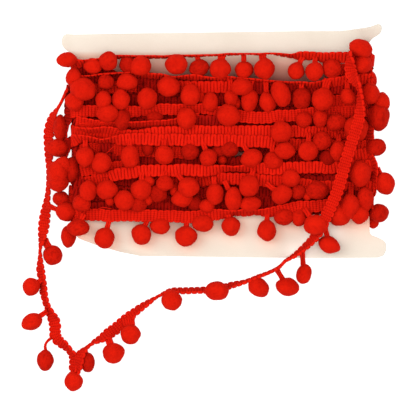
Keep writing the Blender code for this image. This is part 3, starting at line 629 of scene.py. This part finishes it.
# A fold with the darker copy of the yarn for its colour has painted shade.
Fold = namedtuple("Fold", "name side rows across colour", defaults=(ALONG_CARD, BRAID_RED))
FOLDS = (
    Fold("fold_second", RIBBED, ((158, 87, 19.4, 4), (170, 87, 21.4, 4), (182, 87, 22.4, 4),
        (195, 87, 23, 4), (228, 87.6, 23, 4), (238, 88, 21.6, 4), (250, 88.4, 19.4, 4))),
    Fold("fold_second_left", RIBBED, ((92, 90, 19, 4), (100, 89, 21, 4), (118, 87, 21.4, 4),
        (130, 86.4, 20.8, 4), (137, 86.4, 19, 4))),
    Fold("fold_second_right", RIBBED, ((246, 88.4, 19.4, 4), (262, 88.6, 21.6, 4), (300, 90, 21, 4),
        (335, 88, 21.2, 4), (367, 92, 20.4, 4)), ALONG_CARD, SHADED_RED),
    Fold("fold_fourth", STITCHED, ((80, 128, 21, 30), (100, 126, 23.4, 50), (122, 124.8, 24.4, 62),
        (142, 124.2, 24.8, 62), (165, 123.6, 24.6, 56), (185, 121, 23.4, 40), (200, 118, 21.6, 20))),
    Fold("fold_left_upper", STITCHED, ((76, 121, 21.4, 10), (84, 122.6, 23.6, 28), (96, 124.4, 24.4, 40),
        (108, 125.4, 24.6, 44), (120, 127.4, 22.4, 30))),
    Fold("fold_left_lower", STITCHED, ((76, 132, 21.6, 30), (86, 132.2, 24.2, 50), (96, 131, 25.2, 54),
        (107, 130.6, 25.4, 40), (116, 133, 24.6, 24), (124, 137.4, 22.8, 10))),
    Fold("fold_below_third", RIBBED, ((185, 118, 20.4, 6), (200, 121, 22.2, 10), (216, 121.6, 22.2, 10),
        (232, 124, 21, 6)), ALONG_CARD, SHADED_RED),
    Fold("fold_below_fifth", STITCHED, ((80, 150, 19.8, 6), (88, 149, 21.6, 10), (95, 148.6, 21.4, 10),
        (100, 149, 17.6, 6), (112, 149.4, 17.6, 6), (118, 150, 20.8, 6), (155, 151, 21.6, 6),
        (182, 152.5, 21.4, 6), (194, 153, 19.2, 4))),
    Fold("fold_lower_left", STITCHED, ((80, 171, 20.6, 10), (96, 169, 21.8, 14), (120, 167, 21.8, 14),
        (140, 166, 20.6, 10))),
    Fold("fold_right", RIBBED, ((338, 155.4, 20, 6), (350, 155.6, 22, 10), (360, 154.6, 22, 8),
        (370, 153, 20, 4))),
    Fold("edge_left", STITCHED, ((72, 85, 12, 30), (71, 93, 12.6, 30), (69.4, 103, 14.5, 36),
        (68.8, 112, 15, 40), (68.9, 117.5, 15, 44), (66.4, 122.5, 15, 58), (66, 127, 15, 62),
        (62.8, 133.5, 14.2, 62), (65.2, 139.5, 14, 50), (66.2, 148, 14, 50),
        (63, 157, 12, 66)), OVER_EDGE, SHADED_RED),
    Fold("edge_right_top", RIBBED, ((366.4, 48, 17, 40), (367.8, 54, 19, 42), (366.6, 61, 19.4, 46),
        (367.4, 68, 19.4, 44), (369, 75, 19.4, 42), (369.4, 82, 19, 40), (371, 89, 16, 30)), OVER_EDGE),
    Fold("edge_right_middle", STITCHED, ((370, 98, 15, 40), (371, 108, 15, 40), (370, 117, 16, 40),
        (369, 124, 20, 40), (369.4, 131, 21, 44), (369.6, 138, 20.6, 44), (368, 146, 19, 40)), OVER_EDGE),
    Fold("edge_right_fifth", STITCHED, ((365, 151, 20, 40), (369.6, 158, 21.6, 52), (374.6, 164, 22, 56),
        (374.6, 170, 21.6, 58), (373.4, 178, 20, 50), (372.4, 187, 18, 44), (370, 194, 16, 40)), OVER_EDGE),
    Fold("edge_right_low", STITCHED, ((370, 180, 17, 40), (370.4, 189, 18.4, 44), (369.2, 198, 19, 46),
        (368, 207, 18, 40), (367.4, 214, 15, 40)), OVER_EDGE),
    Fold("fold_third_right", STITCHED, ((316, 103, 19.4, 4), (333, 101, 20.8, 8), (352, 101, 20.8, 8),
        (368, 100, 19, 4))),
    Fold("fold_first_right", RIBBED, ((322, 67.5, 19.4, 0), (334, 69.5, 21.4, 6), (346, 70, 21.6, 8),
        (366, 70, 20, 4))),
)
INNER_ROWS = (90, 101.5, 113, 124.5, 136, 147.5, 159, 170.5, 182, 192.5, 202, 208)
INNER_HEIGHT = 18.4
BACK_TOP, BACK_BOTTOM = 70, 211  # the same turns' first and last places on the back
TOP_FILLS = (
    ((76, 71.5, 18.4), (92, 71, 18.8), (106, 73, 18.8), (118, 77.5, 18.8), (135, 79, 18.8), (155, 80, 18.8),
     (175, 83, 18.6), (240, 86, 18.4), (300, 89, 18.4), (366, 86, 18.4)),
    ((74, 81, 18.4), (100, 81, 18.6), (125, 83, 18.2), (150, 85, 17.6)),
)
END_BULGE = 3  # layout steps that a course stands out past its last front row at an end
LEFT_MORE = 2.2
ROUND_STEPS = 5
BACK_STATIONS = ((360, -0.8), (290, 1.2), (220, -0.8), (150, 1.2), (86, -0.8))  # x, and a y shift


def round_end(x, y_start, y_end, z_start, z_end, out):
    """Rows round one end of the card, standing out past x by out."""
    made = []
    for i in range(1, ROUND_STEPS + 1):
        a = pi * i / (ROUND_STEPS + 1)
        y = y_start + (y_end - y_start) * (i / (ROUND_STEPS + 1))
        z = (z_start + z_end) / 2 + (z_start - z_end) / 2 * cos(a)
        made.append((x + out * sin(a) ** 0.8, y, z, 0))
    return made


def ring_path(front, back, back_height, bulge):
    """One turn round the card: the front rows, then round the right end, the back, the left."""
    first, last = front[0], front[-1]
    right = round_end(last[0] + 1.5, last[1], back, last[2], back_height, bulge)
    behind = [(x, back + shift, back_height, 0) for x, shift in BACK_STATIONS]
    left = round_end(first[0] - 1.5, back, first[1], back_height, first[2], -bulge - LEFT_MORE)
    return placed([*front, *right, *behind, *left])


def braid_piece(name, curve, across, side, colour):
    batch = Batch()
    add_braid(batch, curve, across, side)
    return batch.object(name, colour)


def build_courses():
    made = []
    for i, c in enumerate(COURSES):
        rows = ring_path(c.front, c.back, c.back_height, END_BULGE + 0.5 * (i % 3))
        curve = ruffled(rows, SEED + i, True)
        made.append(braid_piece("course_%d" % (i + 1), curve, ALONG_CARD, c.side, BRAID_RED))
    for i, fold in enumerate(FOLDS):
        curve = ruffled(placed(fold.rows), SEED + 50 + i, False, 0.12, 2)
        made.append(braid_piece(fold.name, curve, fold.across, fold.side, fold.colour))
    return made


# Where the inner turns part, so that the card shows: x, y, reach along and push apart, in steps
PARTINGS = ((237, 154, 9, 4.6), (354, 190.5, 6, 3), (115, 69, 6, 3.5), (110, 153, 7, 1.6))
PARTING_HEIGHT = 12


def parted(x, y):
    """A layout y moved away from the partings near it."""
    for middle, level, reach, push in PARTINGS:
        if abs(y - level) < PARTING_HEIGHT:
            y += copysign(push * exp(-(((x - middle) / reach) ** 2)), y - level)
    return y


# Loose thin threads that stray between the turns, as x, y and height in mm
THREAD = 0.32 * MM
THREADS = (
    ((89, 143.5, 24), (92, 147.5, 24.4), (95.5, 150, 23.6), (98.5, 153.5, 22)),
    ((114, 146.5, 24), (110.5, 149.5, 24.4), (107.5, 152.5, 24), (105, 153.5, 22.6)),
    ((96, 210, 24), (103, 207.5, 24.6), (112, 209, 24)),
    ((330, 132, 24.6), (334, 128.5, 25.4), (337, 124.5, 24)),
)


def build_threads():
    batch = Batch()
    for thread in THREADS:
        curve = curve_through([place(*point) for point in thread])
        add_tube(batch, read_curve(curve, np.linspace(0, curve.length, 12)), THREAD, sides=6)
    return batch.object("stray_threads", BRAID_RED)


def build_inner_turns():
    """The turns below: plainer braid in the darker copy of the yarn, painted shade, seen only between the
    courses and the pompoms.
    """
    batch = Batch()
    rng = random.Random(SEED + 1)
    for row, y in enumerate(INNER_ROWS):
        front = [(x, parted(x, y + rng.uniform(-0.5, 0.5)), INNER_HEIGHT + rng.uniform(-0.4, 0.7),
                  rng.uniform(-8, 12)) for x in np.linspace(78, 367, 25)]
        behind = BACK_TOP + row * (BACK_BOTTOM - BACK_TOP) / (len(INNER_ROWS) - 1)
        rows = ring_path(front, behind, 7, 1.6)
        add_braid(batch, curve_through(rows, True), ALONG_CARD, PLAIN)
    for fill in TOP_FILLS:
        rows = placed([(x, parted(x, y), height, 10) for x, y, height in fill])
        add_braid(batch, curve_through(rows), ALONG_CARD, PLAIN)
    return batch.object("inner_turns", SHADED_RED)


def front_line(course, x):
    """The layout y and the height of a course's middle line at x."""
    rows = course.front
    for (x0, y0, z0, _), (x1, y1, z1, _) in zip(rows, rows[1:]):
        if x <= x1:
            break
    t = min(1, max(0, (x - x0) / (x1 - x0)))
    return y0 + (y1 - y0) * t, z0 + (z1 - z0) * t


REACH_UP, REACH_IN = 11, 1.5  # a course's line lies at most and at least this far above a top
LEFT_END, RIGHT_END = 74, 372  # the x of the ends of the courses that hold pompoms
STALK_TOP = 26.4
GRIP, HIDDEN_GRIP = 0.85, 0.3  # where a stalk ends in its pompom, as a share of its half size


def stalk_root(pompom, centre, radii, direction, rng):
    """Where a pompom's stalk leaves its braid: the course just above it, or the pile below."""
    if pompom.root:
        x, y, *height = pompom.root
        return place(x, y, height[0] if height else min(pompom.height + 0.6, STALK_TOP))
    top = pompom.y - pompom.tall / 2
    for course in reversed(COURSES):
        y, height = front_line(course, pompom.x)
        if LEFT_END < pompom.x < RIGHT_END and top - REACH_UP < y < top - REACH_IN:
            lean = -sin(radians(pompom.turn)) * (top - y)
            return place(pompom.x + lean + rng.uniform(-1, 1), y, height - 0.4)
    below = centre + direction * radii[1] * 0.4
    below[2] -= radii[2] + 1.5 * MM
    return below


PILE_SHADE = 0.85  # the pompoms in the pile shade one another


def build_pompom_row(name, pompoms, rng):
    batch, stalks = Batch(), Batch()
    for p in pompoms:
        centre = place(p.x, p.y, p.height)
        radii = half_sizes(p)
        add_pompom(batch, centre, radii, p.turn, rng, shade=p.shade * PILE_SHADE)
        a = radians(p.turn)
        direction = np.array([-sin(a), cos(a), 0])
        root = stalk_root(p, centre, radii, direction, rng)
        hidden = root[2] < centre[2] - radii[2]
        if not hidden:
            direction = level_way(centre, root)
        tip = centre + direction * radii[1] * (HIDDEN_GRIP if hidden else GRIP)
        bow, spread = rng.uniform(-0.4, 0.4) * MM, rng.uniform(0.1, 0.35)
        add_stalk(stalks, root, tip, bow, rng, p.yarns, spread)
    return [batch.object(name + "_pompoms", POMPOM_RED), stalks.object(name + "_stalks", BRAID_RED)]


BACK_ROWS = ((80, 0), (112, 21), (144, 8), (176, 29), (209, 12))  # the place and shift of each
BACK_PITCH, BACK_FIRST, BACK_LAST = 19.5, 78, 368
BACK_HALF_HEIGHT = 6.3 * MM


def build_back_pompoms():
    """Pompoms under the back, pressed a little flat where the part lies on them."""
    rng = random.Random(SEED + 2)
    batch, stalks = Batch(), Batch()
    for y, shift in BACK_ROWS:
        x = BACK_FIRST + shift % BACK_PITCH
        while x < BACK_LAST:
            wide, tall = rng.uniform(18, 21) / 2 * STEP, rng.uniform(18.5, 21.5) / 2 * STEP
            centre = place(x, y + rng.uniform(-1.5, 1.5), 6 + rng.uniform(0, 1.6))
            add_pompom(batch, centre, (wide, tall, BACK_HALF_HEIGHT), rng.uniform(-15, 15), rng,
                       floor=FLOOR_GAP, napped=False)
            top = centre + np.array([0, tall * 0.9, 0])
            add_stalk(stalks, top + np.array([0, 4 * MM, -1 * MM]), top, 0, rng)
            x += BACK_PITCH + rng.uniform(-2, 2)
    return [batch.object("back_pompoms", POMPOM_RED), stalks.object("back_stalks", BRAID_RED)]


# -------- the slack turn

# The slack turn's route: x, y, its lean, 0 flat and 90 on edge, and its bottom edge in mm
Route = namedtuple("Route", "x y lean bottom", defaults=(0,))
SLACK = (
    (349.4, 52, 86, 28), (349.3, 57, 74, 28.6), (350, 62, 52, 29), (350.2, 68, 15, 29.4), (351, 74, 6, 29.8),
    (354, 80, 40, 30.2), (357.8, 86, 70, 30.4), (359.5, 92, 78, 30.4), (359.9, 99, 66, 30.6),
    (360, 106, 56, 30.8), (359.6, 113, 36, 31.6), (358.6, 120, 22, 32.6), (356, 129, 14, 33.8),
    (352.8, 138, 10, 34.2), (349.2, 150, 18, 34.2), (344.7, 164, 6, 33.8), (341, 178, 4, 33.6),
    (336.7, 192, 4, 33.4), (331.3, 205, 4, 32.6), (325.7, 217, 8, 30.6), (319.7, 229, 24, 27),
    (312.4, 239.3, 50, 23), (303.5, 248, 64, 19.6), (294.6, 255.2, 76, 18.4), (286, 260.5, 87, 16.8),
    (279.2, 266.9, 86, 12.2), (270.4, 271.9, 86, 6.8), (258.5, 276.7, 82, 2.6), (245, 281.9, 80, 0.5),
    (231.8, 285.3, 66), (217, 289.5, 60), (200, 290.4, 66), (184, 290.9, 66), (170.4, 291, 75),
    (158.2, 296.4, 89), (148.2, 302.7, 71), (139.7, 308.5, 57), (133.7, 313.1, 50), (126.9, 318.9, 24),
    (119.6, 325.5, 4), (112.9, 330.8, 0), (105.8, 335.4, 40), (100.4, 339.2, 56), (94.3, 342, 75),
    (88.9, 345.8, 88), (84.6, 349.2, 74, 1.6), (81.3, 353, 52, 3.8), (79.5, 358.6, 44, 5),
    (78.6, 364.5, 54, 3.8), (77.7, 370, 68, 1.8), (75.4, 376, 90), (73.2, 370.2, 124), (74, 364, 140),
    (73.5, 357.6, 134), (69.8, 351.4, 118), (64.6, 345.7, 130), (58.6, 341, 154), (54.9, 335, 158),
    (54.9, 328, 174), (53.9, 321.2, 170), (51.3, 315.2, 138), (48.7, 309.8, 118), (46.2, 304.2, 116),
    (44.6, 298.2, 117), (43.4, 292.1, 124), (42.6, 285.6, 125), (41.6, 278, 124), (40.4, 271, 129),
    (40, 264, 115), (40, 257.5, 102), (39.8, 250, 91), (40.9, 244, 106), (42.1, 237.5, 124),
    (43.1, 230, 148), (44, 222, 160), (45.2, 213, 144), (46.5, 203, 119), (47.7, 193, 106), (48.5, 182, 104),
    (48.9, 168, 110), (48.7, 155, 127, 0.2), (48.3, 141, 136, 0.8), (49.2, 130, 150, 2.4),
    (52.4, 118.7, 134, 5.2), (56.6, 110.5, 97, 8), (61.1, 102.5, 91, 10.4), (64.8, 94.5, 92, 12),
    (68, 87.5, 94, 12.6),
)
# Its pompoms: where each hangs from, and its lowest height and its yarns' bow in mm
Hung = namedtuple("Hung", "x y wide tall root turn bottom yarns bow shade",
                  defaults=(0, 0, 2, 0, 1))
HUNG_ROWS = (
    (315.5, 225, 25, 20, (304, 208.5, 26), 0, 22.4), (329, 244.8, 23, 16.8, (324, 224), -20, 17.2),
    (304, 273.8, 15.5, 20.4, (302, 250), -12, 2), (287.3, 286.8, 23, 18.8, (276.5, 269), -12),
    (258.8, 287.8, 22, 18.6, (254, 277), -30, 0, 4), (216.8, 291, 24, 19.4, (216, 289), 0, 5),
    (171.5, 300.5, 21, 20, (172, 292), 0, 0, 4), (130.5, 334.3, 20, 20, (128, 318), 0, 0, 5),
    (113.5, 353.5, 21.5, 20.5, (107.5, 337), 10, 0, 3), (87.8, 362.5, 14, 20, (85, 352), 0, 0, 2, 0, 0.45),
    (73.5, 381.6, 18.5, 19.5, (74.5, 370), 0, 0, 3), (45, 360.5, 17.5, 21, (51, 338.5), 0, 0, 1, -2.6, 0.55),
    (31.7, 321.8, 16.5, 22, (47.5, 311), -66), (31, 286.8, 17, 18.5, (43, 279), -50),
    (52.9, 255.3, 20, 19.6, (44, 240), 30, 0, 3, 0, 0.6),
)


def slack_rows():
    """The slack turn's middle line, with its lean, from the route's bottom edge."""
    rows = []
    for r in (Route(*row) for row in SLACK):
        a = radians(r.lean)
        half = (BRAID_WIDTH * abs(sin(a)) + LOOSE.thickness * abs(cos(a))) / 2
        rows.append((*(place(r.x, r.y, r.bottom) + np.array([0, 0, half])), r.lean))
    return rows


def build_slack():
    curve = curve_through(slack_rows())
    batch = Batch()
    path = add_braid(batch, curve, None, LOOSE, both_sides=True)
    braid = batch.object("slack_braid", BRAID_RED)
    rng = random.Random(SEED + 3)
    pompoms, stalks = Batch(), Batch()
    for p in (Hung(*row) for row in HUNG_ROWS):
        radii = half_sizes(p, 0.97)
        centre = place(p.x, p.y, p.bottom)
        centre[2] += radii[2]
        add_pompom(pompoms, centre, radii, p.turn, rng, floor=FLOOR_GAP, pull=0.06, shade=p.shade)
        x, y, *height = p.root
        root = place(x, y, height[0] if height else 0)
        if not height:
            root[2] = path[norm(path[:, :2] - root[:2], axis=1).argmin(), 2]
        tip = centre + level_way(centre, root) * min(radii[:2]) * GRIP
        add_stalk(stalks, root, tip, p.bow * MM, rng, p.yarns)
    balls = pompoms.object("slack_pompoms", POMPOM_RED)
    yarns = stalks.object("slack_stalks", BRAID_RED)
    return braid, balls, yarns, path, curve.length


# -------- the card

CARD_OUTLINE = (
    (66.5, 34), (75, 34.5), (120, 33.6), (180, 32.8), (240, 32), (310, 31), (340, 31), (352, 29.5),
    (362, 28.4), (370, 27), (376.5, 24.7), (379.8, 25.2), (381.2, 28), (380.6, 32.2), (378, 35.2),
    (373, 38.2), (369.5, 42), (367.8, 48), (368.4, 54), (369.5, 60), (369.5, 227), (369.8, 232),
    (371.5, 235), (375, 236.5), (380, 238.6), (384, 241), (386, 245), (385.6, 251), (382.6, 255.8),
    (377.5, 257.6), (340, 258), (300, 258), (220, 257), (170, 256.2), (140, 255.4), (120, 251.3),
    (100, 245.6), (84, 240), (77.5, 236.6), (76.4, 231), (78, 224), (78, 60.5), (77.3, 58.2), (75.2, 55.6),
    (70, 52.6), (65.6, 49.6), (62.6, 45.6), (61.8, 41), (63, 36.8),
)
STRAIGHT = 20  # an edge longer than this many steps stays straight

# The card's bends: a place on the line of each, the way past it, its angle and its reach
BENDS = (
    (351.5, 33, 0.8, -0.6, 34, 9),
    (100, 236, -0.27, 0.96, -58, 16),
    (80, 44, -1, -0.12, 7, 14),
    (366, 246, 0.95, 0.3, 9, 12),
)
BEND_LINES = 10
CARD_GRID = 4.0  # layout steps between the card's own lines


def card_rise(x, y):
    """How far the bends lift the card at a layout place, in metres."""
    rise = 0
    for line_x, line_y, away_x, away_y, angle, reach in BENDS:
        past = (x - line_x) * away_x + (y - line_y) * away_y
        if past > 0:
            slope = tan(radians(angle))
            rise += slope * STEP * (past * past / (2 * reach) if past < reach else past - reach / 2)
    return rise


# The painted shadow and red bounce light beside the pompoms fade over this many steps.
RED_SHADOW_REACH = 5  # the red that the card takes from the fringe fades over this many steps


def blush_at(x, y):
    """How much painted shadow and red bounce light the card gets at a layout place by the pompoms over its
    lower edge.
    """
    bare = 1
    for p in PILE["fifth"] + PILE["bottom"]:
        away = hypot((x - p.x - 2.5) / (p.wide / 2), (y - p.y - 1) / (p.tall / 2)) - 1
        gap = max(0, away * (p.wide + p.tall) / 4)
        bare *= 1 - 0.75 * exp(-gap / RED_SHADOW_REACH)
    return 1 - bare


# Painted light on the card where the slack turn crosses it: the middles of the lit spots
LIGHT_SPOTS = ((332, 233), (326, 229), (318, 236), (312, 244), (306, 250), (297, 254))
LIGHT_SPOT_REACH, LIGHT_SPOT_MOST = 11, 0.9


def painted_light_at(x, y):
    """How much painted light the card gets at a layout place, where the slack turn crosses it."""
    near = min(hypot(x - a, y - b) for a, b in LIGHT_SPOTS)
    return LIGHT_SPOT_MOST * exp(-((near / LIGHT_SPOT_REACH) ** 2))


def rounded_outline():
    """The card's outline with its corners rounded, except along the long straight edges."""
    out = []
    n = len(CARD_OUTLINE)
    for i in range(n):
        a, b, c, d = (np.array(CARD_OUTLINE[(i + k) % n], float) for k in (-1, 0, 1, 2))
        out.append(tuple(b))
        if norm(c - b) > STRAIGHT:
            continue
        near = min(norm(b - a), norm(d - c)) < STRAIGHT
        for t in (1 / 3, 2 / 3):
            q = spline(a, b, c, d, t)
            straight = b + (c - b) * t
            out.append(tuple(q if near and norm(q - straight) < 1 else straight))
    return out


def build_card():
    bm = bmesh.new()
    corners = [bm.verts.new((x, y, 0)) for x, y in rounded_outline()]
    bm.faces.new(corners)
    cuts = []
    for x, y, away_x, away_y, _, reach in BENDS:
        away = Vector((away_x, away_y, 0))
        for i in range(BEND_LINES):
            cuts.append((Vector((x, y, 0)) + away * reach * i / (BEND_LINES - 1), away))
    cuts += [(Vector((x, 0, 0)), Vector((1, 0, 0))) for x in np.arange(66, 386, CARD_GRID)]
    cuts += [(Vector((0, y, 0)), Vector((0, 1, 0))) for y in np.arange(30, 258, CARD_GRID)]
    for point, normal in cuts:
        every = bm.verts[:] + bm.edges[:] + bm.faces[:]
        bmesh.ops.bisect_plane(bm, geom=every, dist=0.02, plane_co=point, plane_no=normal)
    blushes, painted_lights = [], []
    for vert in bm.verts:
        x, y = vert.co.x, vert.co.y
        blushes.append(blush_at(x, y))
        painted_lights.append(painted_light_at(x, y))
        wave = 0.12 * MM * sin(x / 31) * cos(y / 43)
        vert.co = place(x, y, CARD_MIDDLE) + np.array([0, 0, card_rise(x, y) + wave])
    bmesh.ops.recalc_face_normals(bm, faces=bm.faces)
    mesh = bpy.data.meshes.new("card_board")
    bm.to_mesh(mesh)
    bm.free()
    # The lift attribute carries the painted light under the slack turn.
    obj = dress(mesh, BOARD, blush=blushes, lift=painted_lights)
    thick = obj.modifiers.new("Thickness", "SOLIDIFY")
    thick.thickness = CARD_THICKNESS
    thick.offset = 0
    rounded = obj.modifiers.new("Edge", "BEVEL")
    rounded.width = 0.15 * MM
    rounded.segments = 2
    rounded.limit_method = "ANGLE"
    rounded.angle_limit = radians(60)
    return obj


# -------- stage

CAMERA_HEIGHT = 8  # metres above the card
SENSOR = 36
FLOOR_HALF = 4
LIT_PLACE = Vector((0, -0.04, 0))


def area_light(name, where, size, power):
    light = bpy.data.lights.new(name, "AREA")
    light.size = size
    light.energy = power
    obj = linked(name, light)
    obj.location = where
    obj.rotation_mode = "QUATERNION"
    obj.rotation_quaternion = (LIT_PLACE - Vector(where)).to_track_quat("-Z", "Y")


def build_stage():
    scene = bpy.context.scene
    mesh = bpy.data.meshes.new("floor")
    s = FLOOR_HALF
    mesh.from_pydata([(-s, -s, 0), (s, -s, 0), (s, s, 0), (-s, s, 0)], [], [(0, 1, 2, 3)])
    mesh.materials.append(floor_material())
    floor = linked("floor", mesh)
    floor.location.z = -0.1 * MM

    world = bpy.data.worlds.new("soft_sky")
    world.use_nodes = True
    sky = world.node_tree.nodes["Background"]
    set_sockets(sky, Color=(1, 0.99, 0.98, 1), Strength=1.04)
    scene.world = world
    area_light("left_light", (-1.1, 0.25, 1.5), 1, 16)
    area_light("right_light", (1.1, -0.2, 1.5), 1.2, 4)
    area_light("front_light", (0, 0, 2.4), 1.6, 22)

    lens = bpy.data.cameras.new("camera")
    lens.sensor_width = SENSOR
    lens.lens = SENSOR * CAMERA_HEIGHT / (FRAME_STEPS * STEP)
    lens.clip_end = 20
    camera = linked("camera", lens)
    x, y, z = place(FRAME_STEPS / 2, FRAME_STEPS / 2, CARD_MIDDLE)
    camera.location = (x, y, z + CAMERA_HEIGHT)
    scene.camera = camera
    scene.view_settings.view_transform = "Standard"
    scene.view_settings.look = "None"


# -------- put together


def settle(pieces, node):
    """The pieces rest with the part and stand for a CAD node, which is hidden."""
    for piece in pieces:
        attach(piece, "root")
        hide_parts(node)


def main():
    build_stage()
    braid, balls, yarns, path, length = build_slack()
    settle((braid, balls, yarns), "slack_turn")
    rng = random.Random(SEED)
    wound = build_courses() + [build_inner_turns(), build_threads()]
    for name, pompoms in PILE.items():
        wound += build_pompom_row(name, pompoms, rng)
    settle(wound + build_back_pompoms(), "wound_trim")
    settle((build_card(),), "card")


main()
